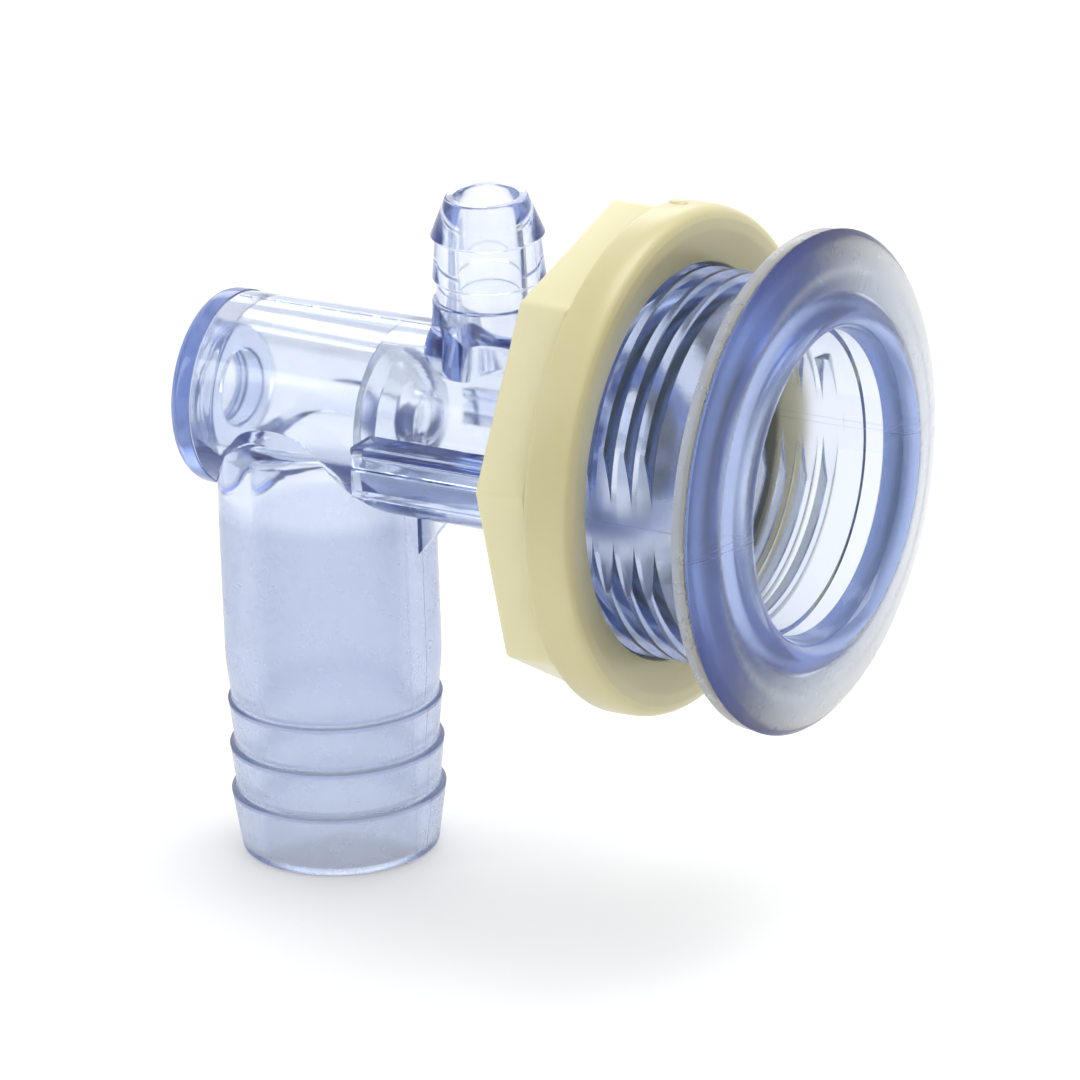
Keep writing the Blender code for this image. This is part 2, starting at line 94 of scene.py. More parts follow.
def done(piece, note=""):
    """Leaves edit mode and says how large the piece is."""
    bpy.ops.object.mode_set(mode="OBJECT")
    size = [round(v * 1000, 1) for v in piece.dimensions]
    print(f"{piece.name}: {len(piece.data.polygons)} faces, {size} mm {note}")
    return piece


let_go()
print("let go of the CAD nodes that loading had selected")

# %% [markdown]
# ## Turning
# Most of this object is round, so most of it is turned as on a lathe. A plane is merged into one
# point, the point is extruded from corner to corner of the outline, and the outline is spun about
# the axis. A moulded part has no sharp corners, so `eased` rounds each corner of the outline first.

# %% An outline with eased corners
def eased(corners, closed=True, steps=6):
    """Corners are (along, radius, ease) in mm. Ease is how far from the corner its curve starts."""
    outline = []
    for i, (along, radius, ease) in enumerate(corners):
        here = Vector((along, radius))
        at_end = not closed and i in (0, len(corners) - 1)
        if ease == 0 or at_end:
            outline.append(here)
            continue
        before = Vector(corners[i - 1][:2]) - here
        after = Vector(corners[(i + 1) % len(corners)][:2]) - here
        start = here + before.normalized() * min(ease, before.length * 0.49)
        end = here + after.normalized() * min(ease, after.length * 0.49)
        for k in range(steps + 1):
            t = k / steps
            outline.append((1 - t) ** 2 * start + 2 * t * (1 - t) * here + t * t * end)
    return outline


print("an eased square has", len(eased([(0, 0, 1), (0, 4, 1), (4, 4, 1), (4, 0, 1)])), "points")

# %% Spinning an outline about X or Z
WELD = 0.002 * MM     # points nearer than this are one point


def turned(name, outline, along="X", at=(0.0, 0.0, 0.0), steps=AROUND, closed=True):
    """A solid turned from an outline of (along, radius) in mm, about a line through at, in mm."""
    at = Vector(at)
    stops = [at + (Vector((a, 0, r)) if along == "X" else Vector((r, 0, a))) for a, r in outline]
    if closed:
        stops.append(stops[0])
    let_go()
    bpy.ops.mesh.primitive_plane_add(size=MM, location=stops[0] * MM)
    piece = bpy.context.object
    piece.name = piece.data.name = name
    bpy.ops.object.transform_apply(location=True, rotation=True, scale=True)
    bpy.ops.object.mode_set(mode="EDIT")
    bpy.ops.mesh.select_mode(type="VERT")
    bpy.ops.mesh.merge(type="CENTER")
    for here, there in zip(stops, stops[1:]):
        bpy.ops.mesh.extrude_vertices_move(TRANSFORM_OT_translate={"value": (there - here) * MM})
    bpy.ops.mesh.select_all(action="SELECT")
    bpy.ops.mesh.spin(steps=steps, angle=2 * pi, center=at * MM,
                      axis=(1, 0, 0) if along == "X" else (0, 0, 1))
    bpy.ops.mesh.select_all(action="SELECT")
    bpy.ops.mesh.remove_doubles(threshold=WELD)
    bpy.ops.mesh.normals_make_consistent(inside=False)
    return done(piece)


print("points nearer than", WELD / MM, "mm are welded")

# %% [markdown]
# ## Boxes, joining and cutting
# What isn't round is a box. Solids are joined and cut with exact Booleans, which are applied at once,
# and the welding afterwards takes away the slivers that they leave.

# %% Boxes, joining and cutting
def block(name, low, high):
    """A box from its lowest to its highest corner, in mm."""
    low, high = Vector(low) * MM, Vector(high) * MM
    let_go()
    bpy.ops.mesh.primitive_cube_add(size=1, location=(low + high) / 2, scale=high - low)
    piece = bpy.context.object
    piece.name = piece.data.name = name
    bpy.ops.object.transform_apply(location=True, rotation=True, scale=True)
    return piece


def joined(piece, other, how="UNION"):
    """A Boolean that is applied at once, and takes the other solid away afterwards."""
    take(piece)
    bpy.ops.object.modifier_add(type="BOOLEAN")
    boolean = piece.modifiers[-1]
    boolean.operation, boolean.solver, boolean.object = how, "EXACT", other
    bpy.ops.object.modifier_apply(modifier=boolean.name)
    bpy.data.objects.remove(other)
    bpy.ops.object.mode_set(mode="EDIT")
    bpy.ops.mesh.select_all(action="SELECT")
    bpy.ops.mesh.remove_doubles(threshold=WELD)
    bpy.ops.mesh.dissolve_degenerate(threshold=WELD / 2)
    bpy.ops.object.mode_set(mode="OBJECT")


def smoothed(piece, angle=24):
    """Smooth shading that still breaks at true corners."""
    take(piece)
    bpy.ops.object.shade_smooth_by_angle(angle=radians(angle))
    pick(piece, "edges", lambda e: False)
    bpy.ops.mesh.select_non_manifold()
    bpy.ops.object.mode_set(mode="OBJECT")
    open_edges = sum(e.select for e in piece.data.edges)
    print(f"{piece.name}: smoothed, {len(piece.data.polygons)} faces, {open_edges} open edges")


# %% [markdown]
# ## The sizes that the pieces share
# What the box can't say, such as a wall or a thread's depth, is named here.

# %% Reading the nodes' boxes
def span(node):
    """The lowest and highest corner of a CAD node, in mm."""
    low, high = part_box(node)
    return low / MM, high / MM


ring_low, ring_high = span("slip_ring")
nut_low, nut_high = span("lock_nut")
body_low, body_high = span("jet_body")
cap_low, cap_high = span("end_cap")
nozzle_low, nozzle_high = span("venturi_nozzle")
flange_high = span("flange")[1]
gasket_high = span("flange_gasket")[1]
barrel_rear = span("threaded_barrel")[0].x
seat = gasket_high.x + HAIR            # the flange's rear face rests on the gasket
crest = flange_high.x
flange_radius = flange_high.z
print(f"from the barrel's rear at {barrel_rear:.2f} to the flange's crest at {crest:.2f} mm")

# %% The thread that the barrel and the nut share
THREAD_CREST, THREAD_ROOT = 18.7, 17.5
THREAD_PITCH = 2.2
THREAD_CREST_WIDTH = 0.5
THREAD_FLANK = radians(25)
THREAD_LAND = 4.2                      # plain barrel behind the wall seat
BARREL_BORE = 14.6
FLAT = 17.4                            # half distance between the two moulding flats
FLANK_CLEARANCE = 0.25                 # between the barrel's ridge and the nut's, square to a flank


def widened(width, depth):
    """A thread ridge's width at this depth below its crest."""
    return width + 2 * depth * tan(THREAD_FLANK)


def ridge(name, start, crest_r, foot_r, crest_width, turns, turned_by=0.0):
    """A thread ridge: a small outline that the Screw modifier drives round and along."""
    foot = widened(crest_width, abs(crest_r - foot_r))
    let_go()
    bpy.ops.mesh.primitive_plane_add(size=MM, location=(0, 0, 0))
    piece = bpy.context.object
    piece.name = piece.data.name = name
    corners = [(start - crest_width / 2, crest_r), (start + crest_width / 2, crest_r),
               (start + foot / 2, foot_r), (start - foot / 2, foot_r)]
    # The plane's four corners, far side first and each side as the outline runs.
    order = sorted(piece.data.vertices, key=lambda v: (-v.co.y, v.co.x * (1 if v.co.y > 0 else -1)))
    for vertex, (along, radius) in zip(order, corners):
        vertex.co = Vector((radius, 0, along)) * MM
    take(piece)
    bpy.ops.object.mode_set(mode="EDIT")
    bpy.ops.mesh.select_all(action="SELECT")
    bpy.ops.mesh.delete(type="ONLY_FACE")
    bpy.ops.object.mode_set(mode="OBJECT")
    bpy.ops.object.modifier_add(type="SCREW")
    screw = piece.modifiers[-1]
    screw.axis, screw.angle, screw.screw_offset = "Z", turns * 2 * pi, turns * THREAD_PITCH * MM
    screw.steps = screw.render_steps = round(turns * AROUND)
    bpy.ops.object.modifier_apply(modifier=screw.name)
    # The Screw works about Z, so the ridge is laid over onto X, as the barrel lies.
    piece.rotation_euler = (0, pi / 2, 0)
    bpy.ops.object.transform_apply(rotation=True)
    bpy.ops.object.mode_set(mode="EDIT")
    bpy.ops.mesh.select_all(action="DESELECT")
    bpy.ops.mesh.select_non_manifold()
    bpy.ops.mesh.edge_face_add()
    bpy.ops.mesh.select_all(action="SELECT")
    bpy.ops.mesh.normals_make_consistent(inside=False)
    bpy.ops.object.mode_set(mode="OBJECT")
    piece.rotation_euler = (turned_by, 0, 0)
    bpy.ops.object.transform_apply(rotation=True)
    return done(piece, f"{turns:.2f} turns")


root_width = widened(THREAD_CREST_WIDTH, THREAD_CREST - THREAD_ROOT)
print("a barrel ridge is", round(root_width, 2), "mm wide at its root")

# %% [markdown]
# ## The flange
# The ring on the wet side has a raised lip round the opening and a shallow hollow between the lip
# and the rim. Its rear face is flat, and lies on the gasket. One turned outline makes all of it.

# %% Turn the flange
flange = turned("clear_flange", eased([
    (seat, BARREL_BORE, 0.06),
    (crest - 2.2, BARREL_BORE + 0.25, 0.4),
    (crest - 0.75, 15.05, 0.9),
    (crest, 16.2, 0.6),
    (crest - 1.25, 20.0, 0.5),
    (crest - 1.35, 20.7, 0.4),
    (crest - 2.25, 23.4, 0.6),
    (seat + 0.3, flange_radius, 0.25),
    (seat, flange_radius - 0.8, 0.15),
]))
smoothed(flange)

# %% [markdown]
# ## The threaded barrel
# Behind the flange comes the barrel. A snap groove inside it, at the flange, holds the jet insert,
# and the jet body is welded into its rear wall. The thread is a ridge joined to it, and two flats are
# cut where the mould halves part.

# %% Turn the barrel
SPIGOT = 9.0                           # radius of the jet body's nose
REAR_WALL = 3.0
SNAP_DEPTH = 0.5
SNAP_START = -0.8
rear_wall_front = barrel_rear + REAR_WALL
barrel_front = seat - HAIR
barrel = turned("clear_threaded_barrel", eased([
    (barrel_front, THREAD_ROOT, 0.1),
    (barrel_rear, THREAD_ROOT, 0.3),
    (barrel_rear, SPIGOT + HAIR, 0.05),
    (rear_wall_front, SPIGOT + HAIR, 0.05),
    (rear_wall_front, BARREL_BORE, 0.5),
    (SNAP_START, BARREL_BORE, 0.05),
    (SNAP_START, BARREL_BORE + SNAP_DEPTH, 0.05),
    (barrel_front, BARREL_BORE + SNAP_DEPTH, 0.05),
]))

# %% Join the thread and cut its flats
barrel_foot = THREAD_ROOT - 0.3
foot_width = widened(THREAD_CREST_WIDTH, THREAD_CREST - barrel_foot)
thread_start = barrel_rear + 0.6 + foot_width / 2
thread_turns = (-THREAD_LAND - foot_width / 2 - thread_start) / THREAD_PITCH
joined(barrel, ridge("barrel_thread", thread_start, THREAD_CREST, barrel_foot, THREAD_CREST_WIDTH,
                     thread_turns))
for side in (1, -1):
    near, far = sorted((side * FLAT, side * 20))
    flat = block("flat", (barrel_rear - 1, near, -12), (-THREAD_LAND + 0.3, far, 12))
    joined(barrel, flat, "DIFFERENCE")
smoothed(barrel)

# %% [markdown]
# ## The gasket
# A thin flat ring, cut from sheet, between the flange and the wall. Its cut edge is square, so its
# corners are hardly eased.

# %% Turn the gasket
gasket = turned("sheet_gasket", eased([
    (0.0, gasket_high.z, 0.12), (gasket_high.x, gasket_high.z, 0.12),
    (gasket_high.x, THREAD_ROOT + 0.3, 0.1), (0.0, THREAD_ROOT + 0.3, 0.1),
], steps=3))
smoothed(gasket)

# %% [markdown]
# ## The slip ring
# The ring that the nut pushes. Its front rounds over to a narrow land that bears on the wall, and
# inside the land it is slightly dished.

# %% Turn the slip ring
RING_BORE = THREAD_CREST + 0.3
ring_rear = ring_low.x - 0.26          # all but touches the nut that pushes it
ring_outline = eased([
    (ring_high.x - 0.7, RING_BORE, 0.15),
    (ring_high.x, 22.2, 0.25),
    (ring_high.x, 23.3, 0.1),
    (ring_high.x - 0.25, ring_high.z - 0.4, 0.6),
    (ring_high.x - 1.3, ring_high.z, 0.8),
    (ring_rear, ring_high.z, 0.55),
    (ring_rear, RING_BORE, 0.15),
])
slip_ring = turned("ivory_slip_ring", ring_outline)

# %% [markdown]
# The plastic came into the ring's mould at its top edge. Where the runner broke off, a low mark is
# left: a ball that is pressed flat and joined to the ring.

# %% The broken-off gate on its top edge
gate_at = Matrix.Rotation(radians(80), 3, "X") @ Vector((ring_low.x + 1.0, ring_high.z, 0))
let_go()
bpy.ops.mesh.primitive_uv_sphere_add(segments=24, ring_count=12, radius=0.8 * MM, location=gate_at * MM)
bpy.ops.transform.resize(value=(1.2, 1.0, 0.35))
joined(slip_ring, bpy.context.object)
smoothed(slip_ring)

# %% [markdown]
# ## The lock nut
# An eight-sided cylinder with its edges eased, bored out, with the female thread left standing in
# the bore. The thread is placed so that its ridge lies in the barrel's groove.

# %% Make the octagon
CORNER_ANGLE = radians(36.5)           # first corner, from +Y towards +Z
NUT_CORNER = (RING_BORE + 3.27) / cos(pi / 8)
let_go()
bpy.ops.mesh.primitive_cylinder_add(vertices=8, radius=NUT_CORNER * MM,
                                    depth=(nut_high.x - nut_low.x) * MM, rotation=(0, pi / 2, 0))
lock_nut = bpy.context.object
lock_nut.name = lock_nut.data.name = "ivory_lock_nut"
bpy.ops.object.transform_apply(location=True, rotation=True, scale=True)
lock_nut.location.x = (nut_low.x + nut_high.x) / 2 * MM
lock_nut.rotation_euler.x = CORNER_ANGLE
take(lock_nut)
bpy.ops.object.transform_apply(location=True, rotation=True, scale=True)
pick(lock_nut, "edges", lambda e: True)
bpy.ops.mesh.bevel(offset=0.45 * MM, segments=4, profile=0.5)
done(lock_nut)

# %% Bore it and leave its thread
NUT_CREST = THREAD_ROOT + 0.3
nut_foot_r = RING_BORE + 0.3
taken = widened(THREAD_CREST_WIDTH, THREAD_CREST - NUT_CREST) + 2 * FLANK_CLEARANCE / cos(THREAD_FLANK)
nut_crest_width = THREAD_PITCH - taken
margin = 0.3 + widened(nut_crest_width, nut_foot_r - NUT_CREST) / 2
nut_start = nut_low.x + margin
groove_at = (nut_start - thread_start) / THREAD_PITCH - 0.5
hole = turned("nut_bore", [(nut_low.x - 1, 0), (nut_low.x - 1, RING_BORE), (nut_high.x + 1, RING_BORE),
                           (nut_high.x + 1, 0)], closed=False)
joined(lock_nut, hole, "DIFFERENCE")
nut_turns = (nut_high.x - margin - nut_start) / THREAD_PITCH
nut_thread = ridge("nut_thread", nut_start, NUT_CREST, nut_foot_r, nut_crest_width, nut_turns,
                   turned_by=2 * pi * groove_at)
joined(lock_nut, nut_thread)
smoothed(lock_nut)

# %% [markdown]
# ## The jet body
# One moulding: a main tube with a spigot that goes into the barrel's rear wall, the water leg with
# its hose barb, the air stem with its small barb, two side ribs and a gusset. Each outer shape is
# made on its own and joined, and the ways for water and air are cut last, so that they stay open
# through every join.

# %% The main tube
TUBE_RADIUS = 9.4
tube_end = -61.0
shoulder = barrel_rear - HAIR
spigot_end = rear_wall_front + 0.7
jet_body = turned("clear_jet_body", eased([
    (spigot_end, 0, 0), (spigot_end, SPIGOT, 0.4), (shoulder, SPIGOT, 0.05), (shoulder, 9.7, 0.15),
    (tube_end, TUBE_RADIUS, 0.12), (tube_end, 0, 0),
], closed=False), closed=False)

# %% [markdown]
# Where the mould halves met along the top of the tube, a little plastic was pressed out. It stands as
# a thin, broken line, made from ten short bars.

# %% The mould's flash along the top of the tube
FLASHES = 10
for i in range(FLASHES):
    start = tube_end + 0.4 + i * 2.25
    end, top = start + 1.3 + 0.4 * (i % 3), 9.58 + 0.05 * (i % 2)
    joined(jet_body, block("flash", (start, -0.09, 9.2), (end, 0.09, top)))
print("flash in", FLASHES, "short runs")

# %% [markdown]
# The leg and the stem are turned about Z, each at its own place along the tube. A hose ridge is a
# steep edge on one side and a long slope on the other, so that a hose goes on and doesn't come off.

# %% The water leg and its barb
leg_x = -51.8
LEG_RADIUS = 10.5
BARBS, BARB_PITCH = 3, 4.65
leg_end = body_low.z
first_barb = leg_end + 6.1 + (BARBS - 1) * BARB_PITCH
leg_corners = [(2.3, 0, 0), (1.9, 6.0, 2.0), (0.0, 9.9, 1.8), (-2.4, LEG_RADIUS, 1.2),
               (first_barb + 3.9, 10.45, 1.5), (first_barb + 0.15, 10.0, 0.3)]
for i in range(BARBS):
    edge = first_barb - i * BARB_PITCH
    leg_corners += [(edge, 10.4, 0.12)]
    if i < BARBS - 1:
        leg_corners += [(edge - 0.35, 10.32, 0.1), (edge - BARB_PITCH + 0.2, 9.85, 0.25)]
leg_corners += [(leg_end + 0.2, 9.5, 0.3), (leg_end, 9.2, 0.15), (leg_end, 0, 0)]
leg = turned("leg", eased(leg_corners, closed=False), "Z", (leg_x, 0, 0), closed=False)
joined(jet_body, leg)

# %% The air stem and its barb
stem_x = -32.7
stem_top = 13.4
air_top = body_high.z
stem = turned("stem", eased([
    (air_top, 0, 0), (air_top, 3.95, 0.25), (stem_top + 6.4, 5.5, 0.15), (stem_top + 6.15, 5.05, 0.1),
    (stem_top + 2.2, 5.45, 0.15), (stem_top + 1.9, 5.05, 0.15), (stem_top + 0.1, 5.1, 0.1),
    (stem_top, 5.5, 0.12), (10.9, 5.6, 0.8), (8.4, 6.6, 0), (7.0, 6.6, 0), (7.0, 0, 0),
], closed=False), "Z", (stem_x, 0, 0), SMALL_AROUND, closed=False)
joined(jet_body, stem)

# %% [markdown]
# ## Ribs and gusset
# A rib runs along each side of the tube from the barrel's rear wall. The mould parts along the ribs,
# which leaves a fine groove down the outer face and a notch at the free end. The rib is a box whose
# edges are bevelled, and the groove is cut with a thin bar that is turned by 45 degrees.

# %% A bar to cut with
def bar(name, low, high, around):
    """A bar with a diamond section: a box turned by 45 degrees about the axis it runs along."""
    piece = block(name, low, high)
    middle = (Vector(low) + Vector(high)) / 2 * MM
    pick(piece, "vertices", lambda v: True)
    bpy.ops.transform.rotate(value=pi / 4, orient_axis=around, center_override=middle)
    bpy.ops.object.mode_set(mode="OBJECT")
    return piece


RIB_START, RIB_TOP, RIB_BOTTOM = -40.9, 1.3, -3.7
LINE = -0.5                            # height at which the mould halves meet on a rib
GROOVE, NOTCH = 0.17, 0.45             # half widths of the cutting bars
rib_face = body_high.y
print("the ribs run from", RIB_START, "to", round(shoulder, 2), "mm")

# %% The two ribs
for side in (1, -1):
    near, far = sorted((side * 7.4, side * rib_face))
    rib = block("rib", (RIB_START, near, RIB_BOTTOM), (shoulder, far, RIB_TOP))

    def rounds(edge):
        """The edges of the outer face, and those of the free end that stand upright."""
        ends = [rib.data.vertices[i].co for i in edge.vertices]
        on_face = all(abs(end.y - side * rib_face * MM) < 0.1 * MM for end in ends)
        at_end = all(end.x < (RIB_START + 0.1) * MM for end in ends) and ends[0].z * ends[1].z < 0
        return on_face or at_end

    pick(rib, "edges", rounds)
    bpy.ops.mesh.bevel(offset=0.9 * MM, segments=5, profile=0.5)
    bpy.ops.object.mode_set(mode="OBJECT")
    outer = side * rib_face
    joined(rib, bar("groove", (RIB_START - 2, outer - GROOVE, LINE - GROOVE),
                    (shoulder + 2, outer + GROOVE, LINE + GROOVE), "X"), "DIFFERENCE")
    joined(rib, bar("notch", (RIB_START - NOTCH, near - 2, LINE - NOTCH),
                    (RIB_START + NOTCH, far + 2, LINE + NOTCH), "Y"), "DIFFERENCE")
    joined(jet_body, rib)
print("ribs joined on both sides")

# %% The gusset behind the leg
GUSSET = 4.4                           # how far it reaches along the tube and down the leg
gusset = block("gusset", (leg_x + LEG_RADIUS - 1, -0.7, -TUBE_RADIUS - GUSSET),
               (leg_x + LEG_RADIUS + GUSSET, 0.7, -TUBE_RADIUS + 1))
foot_x = (leg_x + LEG_RADIUS) * MM
pick(gusset, "vertices", lambda v: v.co.x > foot_x and v.co.z < -9.5 * MM)
bpy.ops.transform.translate(value=(-GUSSET * MM, 0, 0))
done(gusset)
joined(jet_body, gusset)

# %% [markdown]
# ## The ways for water and air
# A passage takes the water from the leg to the nozzle. Past it the chamber begins, where the air comes
# in from above. The leg's own bore ends in a rounded dome that the passage cuts. The ways are turned
# as solids and cut from the finished outside.

# %% Cut the ways
LEG_BORE, AIR_BORE, PASSAGE, CHAMBER = 7.2, 3.13, 6.0, 6.5
chamber_start = leg_x + LEG_BORE + 0.8
ways = [
    turned("main_way", eased([
        (spigot_end + 1, 0, 0), (spigot_end + 1, CHAMBER, 0), (chamber_start, CHAMBER, 0.15),
        (chamber_start, PASSAGE, 0.15), (tube_end - 1, PASSAGE, 0), (tube_end - 1, 0, 0),
    ], closed=False), closed=False, steps=SMALL_AROUND),
    turned("leg_way", eased([
        (-3.2, 0, 0), (-3.2, LEG_BORE - 0.3, 2.2), (-9.0, LEG_BORE, 0.5),
        (leg_end + 0.4, LEG_BORE, 0.2),
        (leg_end - 0.1, LEG_BORE + 0.4, 0), (leg_end - 1, LEG_BORE + 0.4, 0), (leg_end - 1, 0, 0),
    ], closed=False), "Z", (leg_x, 0, 0), closed=False, steps=SMALL_AROUND),
    turned("stem_way", eased([
        (air_top + 1, 0, 0), (air_top + 1, 3.3, 0), (air_top - 0.2, AIR_BORE, 0.1),
        (3.2, AIR_BORE, 0), (3.2, 0, 0),
    ], closed=False), "Z", (stem_x, 0, 0), closed=False, steps=SMALL_AROUND),
    turned("cap_seat", [(tube_end, 0), (tube_end, 9.8), (tube_end - 5, 9.8), (tube_end - 5, 0)],
           closed=False, steps=SMALL_AROUND),
]
for way in ways:
    joined(jet_body, way, "DIFFERENCE")
smoothed(jet_body)

# %% [markdown]
# ## End cap and nozzle
# The cap is a disc welded over the tube's end, with a ring that finds its place in the tube. The
# nozzle narrows the water's way, so that the faster water draws the air in.

# %% Turn the end cap
CAP_RECESS, CAP_REGISTER, REGISTER_LENGTH = 3.6, PASSAGE - HAIR, 1.3
cap_inner = tube_end - HAIR
end_cap = turned("clear_end_cap", eased([
    (cap_inner - 1.1, 0, 0), (cap_inner - 1.1, CAP_RECESS, 1.0),
    (tube_end + REGISTER_LENGTH, CAP_RECESS, 0.5), (tube_end + REGISTER_LENGTH, CAP_REGISTER, 0.4),
    (cap_inner, CAP_REGISTER, 0.05),
    (cap_inner, cap_high.z, 0.1), (cap_low.x, cap_high.z, 1.3), (cap_low.x, 0, 0),
], closed=False), closed=False)
smoothed(end_cap)

# %% Turn the venturi nozzle
NOZZLE_DISC = 2.2                      # thickness of the disc that fills the chamber
NOZZLE_INLET, NOZZLE_BORE = 5.0, 2.1
disc_front = nozzle_low.x + NOZZLE_DISC
disc_rear = chamber_start + HAIR
nozzle = turned("clear_venturi_nozzle", eased([
    (nozzle_high.x, NOZZLE_BORE, 0.1), (nozzle_high.x, 2.75, 0.15), (disc_front, 3.3, 0.3),
    (disc_front, CHAMBER - HAIR, 0.15), (disc_rear, CHAMBER - HAIR, 0.15),
    (disc_rear, NOZZLE_INLET, 0.15), (disc_front, NOZZLE_BORE, 0.4),
]), steps=SMALL_AROUND)
smoothed(nozzle)

# %% [markdown]
# ## Shader maths as Python
# A finish is a graph of nodes. `Value` wraps a socket, so that masks can be added and multiplied as
# Python expressions, and `Finish.node` makes every other node.

# %% A wrapped socket
class Value:
    """A number that varies over the surface: a socket with arithmetic."""

    def __init__(self, finish, socket):
        self.finish, self.socket = finish, socket

    def maths(self, operation, *values):
        return self.finish.node("ShaderNodeMath", {"operation": operation}, dict(enumerate(values)))

    def __add__(self, other):
        return self.maths("ADD", self, other)

    def __radd__(self, other):
        return self.maths("ADD", other, self)

    def __sub__(self, other):
        return self.maths("SUBTRACT", self, other)

    def __rsub__(self, other):
        return self.maths("SUBTRACT", other, self)

    def __mul__(self, other):
        return self.maths("MULTIPLY", self, other)

    def __rmul__(self, other):
        return self.maths("MULTIPLY", other, self)

    def __truediv__(self, other):
        return self.maths("DIVIDE", self, other)

    def __abs__(self):
        return self.maths("ABSOLUTE", self)

    def below(self, edge, soft):
        """1 where the value is under the edge, falling to 0 over a soft width."""
        return self.finish.node("ShaderNodeMapRange", {"interpolation_type": "SMOOTHSTEP"},
                                {"Value": self, "From Min": edge - soft, "From Max": edge + soft,
                                 "To Min": 1.0, "To Max": 0.0})

    def above(self, edge, soft):
        """1 where the value is over the edge."""
        return 1 - self.below(edge, soft)


# %% A finish and its nodes
class Graph:
    """A tree of nodes, with one method that makes any node."""

    def __init__(self, tree):
        self.tree = tree
        tree.nodes.clear()

    def node(self, kind, settings=None, sockets=None, output=0):
        """Makes a node and gives one of its outputs as a Value, or the node itself for None."""
        made = self.tree.nodes.new(kind)
        for key, value in (settings or {}).items():
            setattr(made, key, value)
        for key, value in (sockets or {}).items():
            if isinstance(value, Value):
                self.tree.links.new(value.socket, made.inputs[key])
            else:
                made.inputs[key].default_value = value
        return made if output is None else Value(self, made.outputs[output])

    def blend(self, amount, first, second):
        """A colour between two colours, or links, by an amount."""
        return self.node("ShaderNodeMix", {"data_type": "RGBA", "blend_type": "MIX"},
                         {0: amount, 6: first, 7: second}, output=2)


class Finish(Graph):
    """A material's nodes, with the surface's own place in mm as x, y and z."""

    def __init__(self, name):
        self.material = bpy.data.materials.new(name)
        self.material.use_nodes = True
        super().__init__(self.material.node_tree)
        self.place = self.node("ShaderNodeTexCoord", output="Object")
        parts = self.node("ShaderNodeSeparateXYZ", {}, {"Vector": self.place}, output=None)
        self.x, self.y, self.z = (Value(self, parts.outputs[i]) / MM for i in range(3))

    def noise(self, scale, detail, roughness=0.5, stretch=(1, 1, 1)):
        """Noise on the object's own coordinates, with its scale in cells per mm."""
        at = self.node("ShaderNodeMapping", {}, {"Vector": self.place, "Scale": stretch})
        return self.node("ShaderNodeTexNoise", {}, {"Vector": at, "Scale": scale / MM, "Detail": detail,
                                                    "Roughness": roughness})

    def bump(self, height, strength, distance):
        """Normals that are tilted by a height, over a distance in mm."""
        return self.node("ShaderNodeBump", {}, {"Height": height, "Strength": strength,
                                                "Distance": distance * MM})


# %% [markdown]
# ## Clear, faintly blue plastic
# Thin walls look almost colourless, and thick or edge-on ones a strong blue. That is what light
# losing a little red on every millimetre does, so the colour sits in the volume, not on the surface.
# The surface adds what handling and moulding leave: fine scratches, smudges, flow marks and the mould's
# parting lines. On the jet body it also takes a painted blue shade along the edges of the hose ridges.

# %% The clear plastic
CLEAR_IOR = 1.53
LOSS_PER_METRE = (60.0, 47.0, 19.0)    # how fast red, green and blue fade inside


def clear_plastic(name, tint, lines_and_shade, satin, depth, ior=CLEAR_IOR):
    """Tint, lines_and_shade and satin are functions of the finish: its colour, its mould lines (on the
    jet body also a painted blue shade along the hose ridges), its haze.

    Depth is how strongly this piece colours the light inside it.
    """
    finish = Finish(name)
    flow = finish.noise(0.12, 1.5, stretch=(0.35, 1, 1))
    smudge = finish.noise(0.3, 5)
    scratch = finish.noise(0.9, 2, stretch=(0.15, 1.0, 2.5)).above(0.74, 0.02)
    grain = finish.noise(3.0, 2)
    line_and_shade = lines_and_shade(finish)
    # The deep blue colours the mould lines, and on the jet body it is also painted shade along the hose
    # ridges.
    color = finish.blend(line_and_shade * 0.45, tint(finish, flow), (0.30, 0.36, 0.62, 1))
    roughness = satin(finish) + smudge.above(0.55, 0.12) * 0.05 + scratch * 0.08 + line_and_shade * 0.2
    height = flow * 0.35 + grain * 0.006 - scratch * 0.012 + line_and_shade * 0.06
    shader = finish.node("ShaderNodeBsdfPrincipled", {}, {
        "Base Color": color, "Roughness": roughness, "IOR": ior, "Transmission Weight": 1.0,
        "Normal": finish.bump(height, 0.25, 0.12),
    })
    most = max(LOSS_PER_METRE)
    inside = finish.node("ShaderNodeVolumeAbsorption", {}, {
        "Color": (*[1 - loss / most for loss in LOSS_PER_METRE], 1), "Density": most * depth})
    finish.node("ShaderNodeOutputMaterial", {}, {"Surface": shader, "Volume": inside}, output=None)
    return finish.material


def faint_tint(finish, flow):
    """Nearly white, so that the colour comes from inside."""
    return finish.blend(flow, (0.985, 0.985, 0.98, 1), (0.94, 0.95, 0.955, 1))


def body_tint(finish, flow):
    """Below the tube, the leg is coloured a touch deeper and bluer than the tube."""
    leg_color = finish.blend(flow, (0.79, 0.82, 0.88, 1), (0.77, 0.80, 0.865, 1))
    return finish.blend(finish.z.below(-10.0, 0.8), faint_tint(finish, flow), leg_color)


def mid_plane_lines(finish):
    """A piece that was moulded about its axis parts in the level plane through it."""
    return abs(finish.z).below(0.05, 0.04)


def no_lines(finish):
    """Zero all over: no point lies a metre down."""
    return finish.z.below(-1000, 1)


